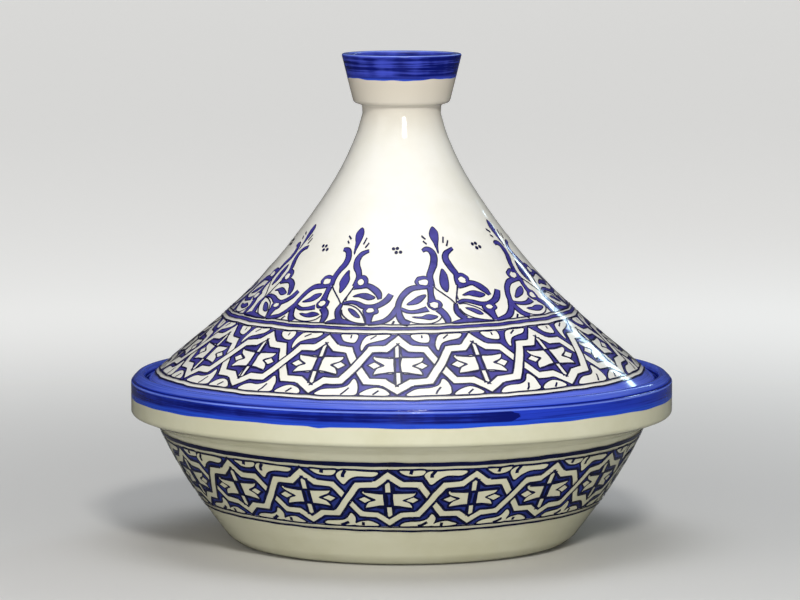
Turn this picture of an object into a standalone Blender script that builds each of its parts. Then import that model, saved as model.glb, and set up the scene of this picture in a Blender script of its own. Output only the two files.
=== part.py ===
"""A lidded tagine pot in two loose pieces of glazed earthenware, at its real size.

The dish is a wide bowl with a heavy rolled rim. A flat ledge runs round the inside of the rim, and
the lid, a hollow cone drawn up to a neck and a cup-shaped knob, rests on that ledge.

Units are metres, with +Z up. The origin is the middle of the dish's foot, on the table. A point of a
section is its radius and its height, and a third number rounds that corner off.
"""

from math import ceil, pi

import bpy
from mathutils import Vector

MM = 0.001

# What drives the shape
RIM_RADIUS = 150 * MM  # half of the pot's width
POT_HEIGHT = 271 * MM  # from the table to the knob's lip
RIM_TOP = 94.7 * MM
LEDGE_HEIGHT = 84 * MM  # the lid rests here
DISH_WALL = 8 * MM
LID_WALL = 7 * MM
REST_GAP = 0.3 * MM  # between the lid's foot and the ledge
GROOVE = 1.6 * MM  # between the lid's edge and the rim's inner face

# The dish
FOOT_RADIUS = 90.5 * MM
FOOT_ROUNDING = 9 * MM
FOOT_RING = 11 * MM  # width of the ring that touches the table
FOOT_RECESS = 2 * MM
FLOOR_HEIGHT = 9.5 * MM
FLOOR_ROUNDING = 24 * MM
WALL_FOOT = Vector((97.2 * MM, 5.4 * MM))
WALL_BELLY = (Vector((109.8 * MM, 21.8 * MM)), Vector((127.2 * MM, 46.4 * MM)))
WALL_TOP = Vector((134.6 * MM, 66 * MM))
RIM_WIDTH = 7.8 * MM  # of the upright lip outside the lid
RIM_SHOULDER = 3.9 * MM  # the slope between the rim's top and its outer face
RIM_FACE_FOOT = 72.6 * MM
RIM_FACE_ROUNDING = 1.8 * MM
RIM_UNDERSIDE = (136.6 * MM, 67.4 * MM)
LEDGE_WIDTH = 12.5 * MM

# The lid
LID_EDGE_TOP = 91.4 * MM
LID_FOOT_WIDTH = 9 * MM
LID_SIDE = (  # from the end of the straight cone, through the hollow curve, to the top of the neck
    Vector((101.0 * MM, 124.6 * MM)),
    Vector((79.4 * MM, 145.5 * MM)),
    Vector((57.2 * MM, 172.2 * MM)),
    Vector((37.4 * MM, 201.0 * MM)),
    Vector((26.4 * MM, 223.0 * MM)),
    Vector((21.6 * MM, 238.0 * MM)),
)
HOLLOW_TOP = 228 * MM
NECK_TOP = (21.9 * MM, 242.6 * MM)
KNOB_FOOT = (26.6 * MM, 244.2 * MM)
KNOB_RADIUS = 33.3 * MM
KNOB_LIP = 4.4 * MM
CUP_RADIUS = 22 * MM
CUP_FLOOR = 257 * MM

SMALL_ROUNDING = 1.2 * MM
AROUND = 60  # facets in one turn
TURN_PER_STEP = 35  # degrees that one facet of a rounded corner may turn


def bezier(start, handle, far_handle, end, steps):
    """Points of a cubic curve, both its ends included."""
    points = []
    for i in range(steps + 1):
        t = i / steps
        near = (1 - t) ** 3 * start + 3 * t * (1 - t) ** 2 * handle
        far = 3 * t**2 * (1 - t) * far_handle + t**3 * end
        points.append(near + far)
    return points


def through(knots, steps):
    """A smooth curve through all the knots, in the same number of steps from each one to the next."""
    padded = [2 * knots[0] - knots[1], *knots, 2 * knots[-1] - knots[-2]]
    points = [knots[0]]
    for before, start, end, after in zip(padded, padded[1:], padded[2:], padded[3:]):
        points += bezier(start, start + (end - before) / 6, end - (after - start) / 6, end, steps)[1:]
    return points


def inset(side, wall):
    """A side that runs upwards, moved inwards by the wall's thickness."""
    moved = []
    for i, point in enumerate(side):
        along = (side[min(i + 1, len(side) - 1)] - side[max(i - 1, 0)]).normalized()
        moved.append(point + wall * Vector((-along.y, along.x)))
    return moved


def rounded(corners):
    """The section through the given corners, each rounded off where it has a third number."""
    plain = [Vector(corner[:2]) for corner in corners]
    section = []
    for i, (corner, point) in enumerate(zip(corners, plain)):
        if len(corner) < 3:
            section.append(point)
            continue
        back = (plain[i - 1] - point).normalized()
        on = (plain[i + 1] - point).normalized()
        start, end = point + corner[2] * back, point + corner[2] * on
        pull = 0.55  # how far a handle reaches to the corner, as on a quarter circle
        steps = ceil((180 - back.angle(on) * 180 / pi) / TURN_PER_STEP)
        section += bezier(start, start.lerp(point, pull), end.lerp(point, pull), end, steps)
    return section


def dish_section():
    """Up the bowl's inside, over the rim, and down the outside to the middle of the foot."""
    wall = bezier(WALL_FOOT, *WALL_BELLY, WALL_TOP, 6)
    inner_wall = inset(wall, DISH_WALL)
    above_floor = [point for point in inner_wall if point.y > FLOOR_HEIGHT + FLOOR_ROUNDING / 2]
    lip_radius = RIM_RADIUS - RIM_WIDTH
    foot_inner = FOOT_RADIUS - FOOT_RING
    return rounded([
        (0, FLOOR_HEIGHT),
        (above_floor[0].x - FLOOR_ROUNDING / 2, FLOOR_HEIGHT, FLOOR_ROUNDING / 2),
        *above_floor,
        (lip_radius - LEDGE_WIDTH, LEDGE_HEIGHT, SMALL_ROUNDING),
        (lip_radius, LEDGE_HEIGHT),
        (lip_radius, RIM_TOP, 2 * SMALL_ROUNDING),
        (RIM_RADIUS - RIM_SHOULDER, RIM_TOP, SMALL_ROUNDING),
        (RIM_RADIUS, RIM_TOP - RIM_SHOULDER, 2 * SMALL_ROUNDING),
        (RIM_RADIUS, RIM_FACE_FOOT, RIM_FACE_ROUNDING),
        RIM_UNDERSIDE,
        *reversed(wall),
        (FOOT_RADIUS, 0, FOOT_ROUNDING / 2),
        (foot_inner, 0),
        (foot_inner - FOOT_RECESS, FOOT_RECESS),
        (0, FOOT_RECESS),
    ])


def lid_section():
    """From the knob's cup over its lip, down the outside, and up the hollow inside."""
    edge_radius = RIM_RADIUS - RIM_WIDTH - GROOVE
    foot_height = LEDGE_HEIGHT + REST_GAP
    side = through(LID_SIDE, 2)
    hollow = inset([Vector((edge_radius, LID_EDGE_TOP)), *side], LID_WALL)
    below_top = [point for point in hollow[1:] if point.y < HOLLOW_TOP - 2 * LID_WALL]
    return rounded([
        (0, CUP_FLOOR),
        (CUP_RADIUS, CUP_FLOOR, CUP_RADIUS / 3),
        (KNOB_RADIUS - KNOB_LIP, POT_HEIGHT, SMALL_ROUNDING),
        (KNOB_RADIUS, POT_HEIGHT, SMALL_ROUNDING),
        (*KNOB_FOOT, SMALL_ROUNDING),
        NECK_TOP,
        *reversed(side),
        (edge_radius, LID_EDGE_TOP, SMALL_ROUNDING),
        (edge_radius, foot_height, SMALL_ROUNDING),
        (edge_radius - LID_FOOT_WIDTH, foot_height),
        *below_top,
        (below_top[-1].x / 2, HOLLOW_TOP, LID_WALL),
        (0, HOLLOW_TOP),
    ])


def turned(name, section, material):
    """The closed body that a section makes when it is turned round Z."""
    mesh = bpy.data.meshes.new(name)
    mesh.from_pydata([(x, 0, z) for x, z in section], [(i, i + 1) for i in range(len(section) - 1)], [])
    mesh.materials.append(material)
    piece = bpy.data.objects.new(name, mesh)
    bpy.context.scene.collection.objects.link(piece)
    screw = piece.modifiers.new("turned", "SCREW")
    screw.steps = AROUND
    screw.render_steps = AROUND
    screw.use_merge_vertices = True
    screw.merge_threshold = 0.0001
    screw.use_smooth_shade = True


def glaze(name, colour):
    """A glossy glaze in one colour."""
    material = bpy.data.materials.new(name)
    material.use_nodes = True
    shader = material.node_tree.nodes["Principled BSDF"]
    shader.inputs["Base Color"].default_value = (*colour, 1)
    shader.inputs["Roughness"].default_value = 0.12
    shader.inputs["Metallic"].default_value = 0
    return material


def main():
    for old in list(bpy.data.objects):
        bpy.data.objects.remove(old)
    turned("dish", dish_section(), glaze("dish_glaze", (0.66, 0.62, 0.47)))
    turned("lid", lid_section(), glaze("lid_glaze", (0.85, 0.84, 0.79)))


main()
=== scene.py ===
from collections import namedtuple
from math import cos, pi, radians, sin

import bpy
import numpy as np
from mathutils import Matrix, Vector


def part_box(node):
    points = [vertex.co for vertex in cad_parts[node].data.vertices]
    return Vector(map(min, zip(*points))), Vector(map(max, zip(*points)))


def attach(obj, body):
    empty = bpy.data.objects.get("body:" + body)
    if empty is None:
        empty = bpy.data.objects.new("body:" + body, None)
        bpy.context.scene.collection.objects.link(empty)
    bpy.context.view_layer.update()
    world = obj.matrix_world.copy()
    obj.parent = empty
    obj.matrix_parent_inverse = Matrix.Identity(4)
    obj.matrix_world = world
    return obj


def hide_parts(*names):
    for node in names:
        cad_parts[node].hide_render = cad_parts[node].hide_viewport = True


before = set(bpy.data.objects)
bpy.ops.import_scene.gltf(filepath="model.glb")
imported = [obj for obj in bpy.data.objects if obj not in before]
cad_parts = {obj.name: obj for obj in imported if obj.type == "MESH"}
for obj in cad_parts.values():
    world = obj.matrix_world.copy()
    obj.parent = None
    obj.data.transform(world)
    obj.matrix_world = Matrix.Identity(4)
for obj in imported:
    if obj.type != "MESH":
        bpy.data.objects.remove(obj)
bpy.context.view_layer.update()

bl_info = {
    "name": "Painted tagine pot",
    "version": (1, 0, 0),
    "blender": (4, 5, 0),
    "location": "3D Viewport > Sidebar > Tagine",
    "description": "Glazes and paints the two pieces of a tagine pot, and sets the stage for it",
    "category": "Object",
}

MM = 0.001
DISH_LOW, DISH_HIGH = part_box("dish")
LID_LOW, LID_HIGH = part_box("lid")


# ---------------------------------------------------------------- sizes and colours


def length(name, description, default):
    """A size in metres, for a property group."""
    return bpy.props.FloatProperty(
        name=name, description=description, default=default, subtype="DISTANCE", unit="LENGTH", precision=5
    )


def number(name, description, default, least):
    """A whole number, for a property group."""
    return bpy.props.IntProperty(name=name, description=description, default=default, min=least)


def swatch(name, description, default):
    """A linear colour, for a property group."""
    return bpy.props.FloatVectorProperty(
        name=name, description=description, default=default, subtype="COLOR", size=3, min=0, max=1
    )


class TaginePot(bpy.types.PropertyGroup):
    """Sizes of the two thrown pieces."""

    rim_radius: length("Rim radius", "Half of the dish's width", DISH_HIGH.x)
    rim_top: length("Rim height", "From the table to the top of the rim", DISH_HIGH.z)
    rim_width: length("Rim width", "Width of the lip that stands outside the lid", 7.8 * MM)
    ledge_height: length("Ledge height", "Where the lid rests inside the rim", LID_LOW.z - 0.3 * MM)
    ledge_width: length("Ledge width", "How far the ledge reaches inwards", 12.5 * MM)
    dish_wall: length("Dish wall", "Thickness of the dish", 8 * MM)
    lid_radius: length("Lid radius", "Half of the lid's width", LID_HIGH.x)
    lid_foot: length("Lid foot", "Underside of the lid's edge", LID_LOW.z)
    lid_edge_top: length("Lid edge", "Top of the lid's upright edge", 91.4 * MM)
    lid_wall: length("Lid wall", "Thickness of the lid", 7 * MM)
    knob_top: length("Knob height", "From the table to the knob's lip", LID_HIGH.z)
    knob_radius: length("Knob radius", "Half of the knob's width at its lip", 33.3 * MM)
    cup_floor: length("Cup floor", "Bottom of the hollow in the knob", LID_HIGH.z - 14 * MM)
    throwing: length("Throwing marks", "How far the turning ridges stand proud", 0.035 * MM)
    around: number("Facets", "Facets in one turn", 320, 32)


class TaginePaint(bpy.types.PropertyGroup):
    """Numbers and sizes of the painted ornament."""

    lid_stars: number("Lid stars", "Stars round the lid", 17, 3)
    dish_stars: number("Dish stars", "Stars round the dish", 17, 3)
    flowers: number("Flowers", "Plant ornaments round the lid", 8, 3)
    lid_line: length("Lid outline", "Width of the dark outlines on the lid", 1.1 * MM)
    dish_line: length("Dish outline", "Width of the dark outlines on the dish", 1.55 * MM)
    lid_strap: length("Lid strap", "Width of the white straps on the lid", 5.1 * MM)
    dish_strap: length("Dish strap", "Width of the white straps on the dish", 4.8 * MM)
    coat: length("Paint coat", "Height of the first coat of paint over the glaze", 0.05 * MM)
    unsteady: length("Unsteady hand", "How far a painted line strays", 0.22 * MM)
    slant: length("Slant", "How far the lid's rings rise towards the right", 1.2 * MM)
    lid_dip: length("Lid dip", "How far the lid's rings rise from the front to the sides", 1.2 * MM)
    dish_dip: length("Dish dip", "How far the dish's rings rise from the front to the sides", 2.8 * MM)
    rim_edge: length("Rim paint", "Height of the lower edge of the blue on the rim", 82.2 * MM)
    knob_edge: length("Knob paint", "Height of the lower edge of the blue on the knob", 257.6 * MM)


class TagineColours(bpy.types.PropertyGroup):
    """Colours of the glaze and the paint."""

    lid_glaze: swatch("Lid glaze", "The lid's white", (0.80, 0.785, 0.73))
    # painted shade and warm light from the table: the lid's white glaze, made darker and creamier
    dish_glaze: swatch("Dish glaze", "The dish's cream", (0.61, 0.60, 0.455))
    wash: swatch("Lid wash", "Thin cobalt between the lid's outlines", (0.054, 0.047, 0.270))
    dish_wash: swatch("Dish wash", "Thin cobalt between the dish's outlines", (0.022, 0.036, 0.210))
    dish_deep: swatch("Dish deep blue", "Cobalt where the dish's brush left more", (0.005, 0.007, 0.070))
    deep: swatch("Lid deep blue", "Cobalt where the lid's brush left more", (0.012, 0.010, 0.120))
    outline: swatch("Lid outline", "The lid's dark outline colour", (0.009, 0.008, 0.055))
    dish_outline: swatch("Dish outline", "The dish's dark outline colour", (0.003, 0.005, 0.036))
    band: swatch("Rim blue", "Cobalt on the rim", (0.016, 0.044, 0.48))
    knob: swatch("Knob blue", "Cobalt on the knob", (0.058, 0.085, 0.58))
    edge: swatch("Edge blue", "Cobalt on the lid's edge", (0.060, 0.090, 0.60))
    band_deep: swatch("Full band", "Cobalt where the band's brush was full", (0.001, 0.005, 0.125))
    # painted highlight: the lighter blue on the rim's corner and top, on the knob's lip and over the lid's
    # edge
    band_corner_highlight: swatch("Worn band", "Cobalt on the corners, where the glaze is thin", (0.22, 0.32, 0.85))
    band_light: swatch("Thin band", "Cobalt where the band thins out", (0.014, 0.072, 0.56))
    floor: swatch("Floor", "The studio floor", (0.62, 0.61, 0.59))
    glow: swatch("Backdrop", "Light added to the floor far behind the pot", (0.57, 0.57, 0.56))


# ---------------------------------------------------------------- sections of the pieces


def bezier(start, handle, far_handle, end, steps):
    """A cubic curve: (1-t)^3 of the start, 3t(1-t)^2 and 3t^2(1-t) of the handles, t^3 of the end."""
    t = np.linspace(0, 1, steps + 1)[:, None]
    near = (1 - t) ** 3 * np.array(start) + 3 * t * (1 - t) ** 2 * np.array(handle)
    return near + 3 * t**2 * (1 - t) * np.array(far_handle) + t**3 * np.array(end)


def through(knots, steps, closed=False):
    """A smooth curve through the knots: between two of them a cubic whose slope at each is half of the
    way from the knot before it to the knot after it."""
    knots = np.array(knots, float)
    if closed:
        padded = np.concatenate([knots[-1:], knots, knots[:2]])
    else:
        padded = np.concatenate([2 * knots[:1] - knots[1:2], knots, 2 * knots[-1:] - knots[-2:-1]])
    before, start, end, after = padded[:-3], padded[1:-2], padded[2:-1], padded[3:]
    t = np.linspace(0, 1, steps, endpoint=False)[None, :, None]
    first, last = start + (end - before) / 6, end - (after - start) / 6
    start, first, last, end = (side[:, None] for side in (start, first, last, end))
    points = (1 - t) ** 3 * start + 3 * t * (1 - t) ** 2 * first + 3 * t**2 * (1 - t) * last + t**3 * end
    points = points.reshape(-1, knots.shape[1])
    return points if closed else np.concatenate([points, knots[-1:]])


def inset(side, wall):
    """A side that runs upwards, moved inwards: each point plus the wall times its unit normal."""
    along = np.gradient(side, axis=0)
    along /= np.hypot(along[:, 0], along[:, 1])[:, None]
    return side + wall * np.stack([-along[:, 1], along[:, 0]], 1)


def rounded(corners, steps=6):
    """A section through the corners. A third number rounds a corner off with a cubic whose ends lie
    that far from it on both sides, and whose handles reach 0.55 of the way to it."""
    plain = [np.array(corner[:2], float) for corner in corners]
    section = []
    for i, (corner, point) in enumerate(zip(corners, plain)):
        if len(corner) < 3:
            section.append(point[None])
            continue
        back, on = plain[i - 1] - point, plain[i + 1] - point
        start = point + corner[2] * back / np.hypot(*back)
        end = point + corner[2] * on / np.hypot(*on)
        section.append(bezier(start, start + 0.55 * (point - start), end + 0.55 * (point - end), end, steps))
    return np.concatenate(section)


# Sizes of the sections that the shape of the pot hangs on but nobody would change.
DISH_WALL = ((97.2, 5.4), (109.8, 21.8), (127.2, 46.4), (134.6, 66))
FOOT_RADIUS = 90.5 * MM
FOOT_RING = 11 * MM
FOOT_HOLLOW = 2 * MM
FLOOR_TOP = 9.5 * MM
FLOOR_CORNER = 12 * MM
FLOOR_FLAT = 40 * MM
RIM_SHOULDER = 3.9 * MM
RIM_GROOVE = 0.9 * MM
RIM_FACE_FOOT = 72.6 * MM
RIM_UNDERSIDE = (136.6 * MM, 67.4 * MM)
LID_SIDE = ((101, 124.6), (79.4, 145.5), (57.2, 172.2), (37.4, 201), (26.4, 223), (21.6, 238))
LID_EDGE_WIDTH = 9 * MM
HOLLOW_STRAIGHT_TOP = 214 * MM
HOLLOW_TOP = 228 * MM
CUP_RADIUS = 22 * MM
KNOB_LIP = 4.4 * MM
KNOB_UNDERSIDE = (26.6 * MM, 244.2 * MM)
NECK_TOP = (21.9 * MM, 242.6 * MM)


def dish_wall():
    """The bowl's outer side, from the foot up to the underside of the rim."""
    return bezier(*np.array(DISH_WALL) * MM, 36)


def lid_side():
    """The lid's outer side, from the edge up the straight cone and the hollow curve to the neck."""
    return through(np.array(LID_SIDE) * MM, 10)


def dish_section(pot):
    """Up the bowl's inside, over the rim, and down the outside to the middle of the foot."""
    wall = dish_wall()
    inner = inset(wall, pot.dish_wall)
    inner = inner[inner[:, 1] > FLOOR_TOP + FLOOR_CORNER]
    lip = pot.rim_radius - pot.rim_width
    face_top = pot.rim_top - RIM_SHOULDER
    return rounded([
        (0, FLOOR_TOP),
        (inner[0, 0] - FLOOR_FLAT, FLOOR_TOP),
        (inner[0, 0] - FLOOR_CORNER, FLOOR_TOP, FLOOR_CORNER),
        *inner,
        (lip - pot.ledge_width, pot.ledge_height, 1.2 * MM),
        (lip, pot.ledge_height, 0.6 * MM),
        (lip, pot.rim_top, 2.4 * MM),
        (pot.rim_radius - RIM_SHOULDER, pot.rim_top, 1.2 * MM),
        (pot.rim_radius - RIM_GROOVE, face_top + RIM_GROOVE, 0.3 * MM),
        (pot.rim_radius - RIM_GROOVE, face_top + 0.3 * MM, 0.2 * MM),
        (pot.rim_radius, face_top - 0.2 * MM, 0.5 * MM),
        (pot.rim_radius, RIM_FACE_FOOT, 1.8 * MM),
        (*RIM_UNDERSIDE, 1.5 * MM),
        *wall[::-1],
        (FOOT_RADIUS, 0, 4.5 * MM),
        (FOOT_RADIUS - FOOT_RING, 0, 0.6 * MM),
        (FOOT_RADIUS - FOOT_RING - FOOT_HOLLOW, FOOT_HOLLOW, 0.6 * MM),
        (0, FOOT_HOLLOW),
    ])


def lid_section(pot):
    """From the knob's cup over its lip, down the outside, and up the hollow inside."""
    side = lid_side()
    hollow = inset(np.concatenate([[(pot.lid_radius, pot.lid_edge_top)], side]), pot.lid_wall)[1:]
    hollow = hollow[hollow[:, 1] < HOLLOW_STRAIGHT_TOP]
    return rounded([
        (0, pot.cup_floor),
        (CUP_RADIUS, pot.cup_floor, 7.3 * MM),
        (pot.knob_radius - KNOB_LIP, pot.knob_top, 1.6 * MM),
        (pot.knob_radius, pot.knob_top, 1.3 * MM),
        (*KNOB_UNDERSIDE, 1.4 * MM),
        (*NECK_TOP, 0.8 * MM),
        *side[::-1],
        (pot.lid_radius, pot.lid_edge_top, 1.4 * MM),
        (pot.lid_radius, pot.lid_foot, 1.2 * MM),
        (pot.lid_radius - LID_EDGE_WIDTH, pot.lid_foot, 0.6 * MM),
        *hollow,
        (hollow[-1, 0] / 2, HOLLOW_TOP, 7 * MM),
        (0, HOLLOW_TOP),
    ])


# ---------------------------------------------------------------- surfaces


def reach(section):
    """How far along its line each point of a section lies."""
    return np.concatenate([[0], np.cumsum(np.hypot(*np.diff(section, axis=0).T))])


def finer(section, longest):
    """The same section with each stretch cut into equal parts no longer than `longest`."""
    at = reach(section)
    cuts = np.maximum(np.ceil(np.diff(at) / longest).astype(int), 1)
    parts = [np.linspace(a, b, n, endpoint=False) for a, b, n in zip(at, at[1:], cuts)]
    stations = np.concatenate([*parts, at[-1:]])
    return np.stack([np.interp(stations, at, section[:, k]) for k in (0, 1)], 1)


THROWING_PITCH = 6.5 * MM


class Side:
    """A turned surface that paint is laid on: a point is an azimuth, which is 0 in front and grows to
    the right, and a distance along the section."""

    def __init__(self, section, throwing):
        self.section = section
        self.at = reach(section)
        self.throwing = throwing
        tangent = np.gradient(section, self.at, axis=0)
        tangent /= np.hypot(tangent[:, 0], tangent[:, 1])[:, None]
        self.normal = np.stack([-tangent[:, 1], tangent[:, 0]], 1)
        if self.normal[len(section) // 2, 0] < 0:
            self.normal = -self.normal

    def along(self, height):
        """The distance along the section where the side has this height."""
        order = np.argsort(self.section[:, 1])
        return float(np.interp(height, self.section[order, 1], self.at[order]))

    def points(self, azimuth, along, lift):
        """Radius and height at `along`, moved out along the normal by the lift and by the throwing
        marks, a fine wave along the side, and turned to the azimuth."""
        radius, height, out, up = (
            np.interp(along, self.at, column)
            for column in (self.section[:, 0], self.section[:, 1], self.normal[:, 0], self.normal[:, 1])
        )
        lift = lift + self.throwing * marks(azimuth, height)
        radius = radius + lift * out
        return np.stack([radius * np.sin(azimuth), -radius * np.cos(azimuth), height + lift * up], -1)

    def normals(self, azimuth, along):
        """The section's own normal, turned to the azimuth."""
        out, up = (np.interp(along, self.at, self.normal[:, k]) for k in (0, 1))
        size = np.hypot(out, up)[..., None]
        return np.stack([out * np.sin(azimuth), -out * np.cos(azimuth), up], -1) / size


def marks(azimuth, height):
    """Throwing marks from -1 to 1: two waves of the height, the coarse one 0.37 times as close as the
    fine one, which climb slowly with the azimuth."""
    turns = height / THROWING_PITCH * 2 * pi
    return 0.6 * np.sin(turns + azimuth) + 0.4 * np.sin(0.37 * turns - 2 * azimuth + 1.0)


def turned(name, section, around, throwing, edges=()):
    """The closed surface of a section turned round Z, as a grid of stations by azimuths: each row is a
    circle of the section's radius and height, and the first and last rows are single points. Each edge
    is a distance along the section and a wave: the rows near it slide along the section by the wave, so
    that the edge of the paint is a line of the grid. The faces between the first two edges take the
    second material, and those between the next two the third."""
    azimuth = np.linspace(0, 2 * pi, around, endpoint=False)
    rows = reach(section)[1:-1].copy()
    slide = np.zeros((len(rows), around))
    nearest = []
    for edge, wave in edges:
        near = int(np.argmin(abs(rows - edge)))
        rows[near] = edge
        weight = np.clip(1 - abs(np.arange(len(rows)) - near) / 4, 0, 1)
        slide += weight[:, None] * wave(azimuth)[None]
        nearest.append(near)
    along = rows[:, None] + slide
    grid = Side(section, throwing).points(np.broadcast_to(azimuth, along.shape), along, 0.0)
    poles = [[0, 0, section[0, 1]], [0, 0, section[-1, 1]]]
    vertices = np.concatenate([grid.reshape(-1, 3), poles])
    count = len(rows)
    i, j = np.meshgrid(np.arange(count - 1), np.arange(around), indexing="ij")
    on = (j + 1) % around
    quads = np.stack([i * around + j, (i + 1) * around + j, (i + 1) * around + on, i * around + on], -1)
    first = np.arange(around)
    first_on = (first + 1) % around
    last = (count - 1) * around
    start = np.stack([np.full(around, count * around), first, first_on], 1)
    end = np.stack([last + first_on, last + first, np.full(around, count * around + 1)], 1)
    faces = quads.reshape(-1, 4).tolist() + start.tolist() + end.tolist()
    painted = np.zeros(len(faces), np.int32)
    for slot, (begin, stop) in enumerate(zip(nearest[::2], nearest[1::2])):
        painted[: (count - 1) * around][((i >= begin) & (i < stop)).reshape(-1)] = slot + 1
    return made(name, vertices, faces, painted)


def made(name, vertices, faces, slots=None, normals=None):
    """A smooth mesh object, linked to the scene."""
    mesh = bpy.data.meshes.new(name)
    mesh.from_pydata(vertices.tolist(), [], faces)
    mesh.polygons.foreach_set("use_smooth", np.ones(len(mesh.polygons), bool))
    if slots is not None:
        mesh.polygons.foreach_set("material_index", slots)
    if normals is not None:
        mesh.normals_split_custom_set_from_vertices(normals.tolist())
    mesh.update()
    piece = bpy.data.objects.new(name, mesh)
    bpy.context.scene.collection.objects.link(piece)
    return piece


def halves(a, b, c, d):
    """Two triangles for each face with the corners a, b, c and d."""
    corners = (np.stack(three, -1).reshape(-1, 3) for three in ((a, b, c), (a, c, d)))
    return np.concatenate(list(corners))


# ---------------------------------------------------------------- brushwork


class Colour:
    """What is painted in one colour: flat points in millimetres, their coats of paint, and triangles."""

    def __init__(self):
        self.points, self.coats, self.faces, self.count = [], [], [], 0

    def add(self, points, coats, faces):
        self.points.append(points)
        self.coats.append(np.broadcast_to(np.asarray(coats, float), len(points)))
        self.faces.append(faces + self.count)
        self.count += len(points)


class Painting:
    """The washes, whites and outlines of one band of ornament. Coats are counted from the glaze up, and
    a higher coat lies over a lower one."""

    def __init__(self, line):
        self.line_width = line
        self.wash, self.white, self.outline = Colour(), Colour(), Colour()

    def ribbon(self, colour, path, width, coat, closed=False):
        """A stroke: the path moved by half of the width along its normals to both sides. At a corner
        the normal is the mean of its neighbours', lengthened so that the stroke keeps its width."""
        path, width, coat = evenly(path, width, coat, closed)
        step = np.roll(path, -1, 0) - path if closed else np.diff(path, axis=0)
        step /= np.maximum(np.hypot(step[:, 0], step[:, 1]), 1e-9)[:, None]
        normal = np.stack([-step[:, 1], step[:, 0]], 1)
        if closed:
            before, after = np.roll(normal, 1, 0), normal
        else:
            before = np.concatenate([normal[:1], normal])
            after = np.concatenate([normal, normal[-1:]])
        mean = before + after
        mean /= np.maximum(np.hypot(mean[:, 0], mean[:, 1]), 0.5)[:, None]
        mitre = mean / np.maximum((mean * after).sum(1), 0.55)[:, None]
        sides = np.stack([path + mitre * width[:, None] / 2, path - mitre * width[:, None] / 2], 1)
        count = len(path)
        i = np.arange(count if closed else count - 1)
        on = (i + 1) % count
        faces = halves(2 * i, 2 * i + 1, 2 * on + 1, 2 * on)
        colour.add(sides.reshape(-1, 2), np.repeat(coat, 2), faces)
        return sides[:, 0], sides[:, 1]

    def fill(self, colour, outline, coat, centre=None, rings=5):
        """A filled shape: the centre plus a part of the way, from 0 to 1, to each point of the outline."""
        outline = evenly(outline, 0, 0, True)[0]
        centre = outline.mean(0) if centre is None else np.asarray(centre, float)
        part = np.linspace(0, 1, rings + 1)[1:, None, None]
        points = np.concatenate([[centre], (centre + part * (outline - centre)).reshape(-1, 2)])
        count = len(outline)
        i, j = np.meshgrid(np.arange(rings - 1), np.arange(count), indexing="ij")
        on = (j + 1) % count
        a, b, c, d = (1 + r * count + s for r, s in ((i, j), (i + 1, j), (i + 1, on), (i, on)))
        j = np.arange(count)
        hub = np.stack([np.zeros(count, int), 1 + j, 1 + (j + 1) % count], 1)
        colour.add(points, coat, np.concatenate([hub, halves(a, b, c, d)]))

    def shape(self, colour, outline, coat, centre=None):
        """A filled shape that lies on its wider dark outline."""
        self.line(outline, coat - 1, 1.6, closed=True)
        self.fill(colour, outline, coat, centre)

    def line(self, path, coat, part=1.0, closed=False):
        """A stroke of the outline brush."""
        self.ribbon(self.outline, path, self.line_width * part, coat, closed)

    def stroke(self, colour, path, width, coat):
        """A wide stroke with a dark outline along both sides."""
        coats = evenly(path, width, coat, False)[2] + 1
        for side in self.ribbon(colour, path, width, coat):
            self.line(side, coats)


def evenly(path, width, coat, closed, step=0.9):
    """The path with each stretch cut into parts of about one step, its corners kept, with the width and
    the coat interpolated along it."""
    path = np.asarray(path, float)
    values = np.stack([np.broadcast_to(np.asarray(v, float), len(path)) for v in (width, coat)], 1)
    points = np.concatenate([path, values], 1)
    if closed:
        points = np.concatenate([points, points[:1]])
    lengths = np.hypot(*np.diff(points[:, :2], axis=0).T)
    keep = np.concatenate([[True], lengths > 1e-6])
    points, lengths = points[keep], lengths[lengths > 1e-6]
    cuts = np.maximum(np.ceil(lengths / step).astype(int), 1)
    stretch = np.repeat(np.arange(len(cuts)), cuts)
    first = np.concatenate([[0], np.cumsum(cuts)[:-1]])
    part = ((np.arange(cuts.sum()) - first[stretch]) / cuts[stretch])[:, None]
    even = points[stretch] * (1 - part) + points[stretch + 1] * part
    if not closed:
        even = np.concatenate([even, points[-1:]])
    return even[:, :2], even[:, 2], even[:, 3]


# How unevenly the places of a star (in parts of its size) and of a flower (in millimetres) are drawn.
STAR_UNEVEN = 0.0035
FLOWER_UNEVEN = 0.16
# An unsteady hand's waves: how many millimetres each one is long, and how far it strays.
UNSTEADY_WAVES = ((45, 1.6), (30, 1.2), (20, 1.0), (14, 0.8), (9, 0.55), (6, 0.4), (4, 0.25))


def astray(points, period, seed):
    """How far an unsteady hand strays at each point: a sum of waves in random directions, which close
    after one period across."""
    random = np.random.default_rng(seed)
    moved = np.zeros_like(points)
    for wavelength, size in UNSTEADY_WAVES:
        for axis in (0, 1):
            angle = random.uniform(0, pi)
            across = round(period / wavelength * cos(angle)) * 2 * pi / period
            upwards = sin(angle) * 2 * pi / wavelength
            phase = random.uniform(0, 2 * pi)
            moved[:, axis] += size * np.sin(across * points[:, 0] + upwards * points[:, 1] + phase)
    return moved / 2.5


def rise(azimuth, slant, dip):
    """How far a hand-painted ring rises: the slant times the sine of the azimuth, which is highest on
    the right, plus the dip times its square, which is highest on both sides."""
    return slant * np.sin(azimuth) + dip * np.sin(azimuth) ** 2


# Where flat paint goes: the side, the flat length of one turn, the distance along the side of height 0,
# how the way round becomes an azimuth, the seed of the unsteady hand, and how a ring slants and dips.
Ground = namedtuple("Ground", "side period zero turn seed slant dip")


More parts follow.
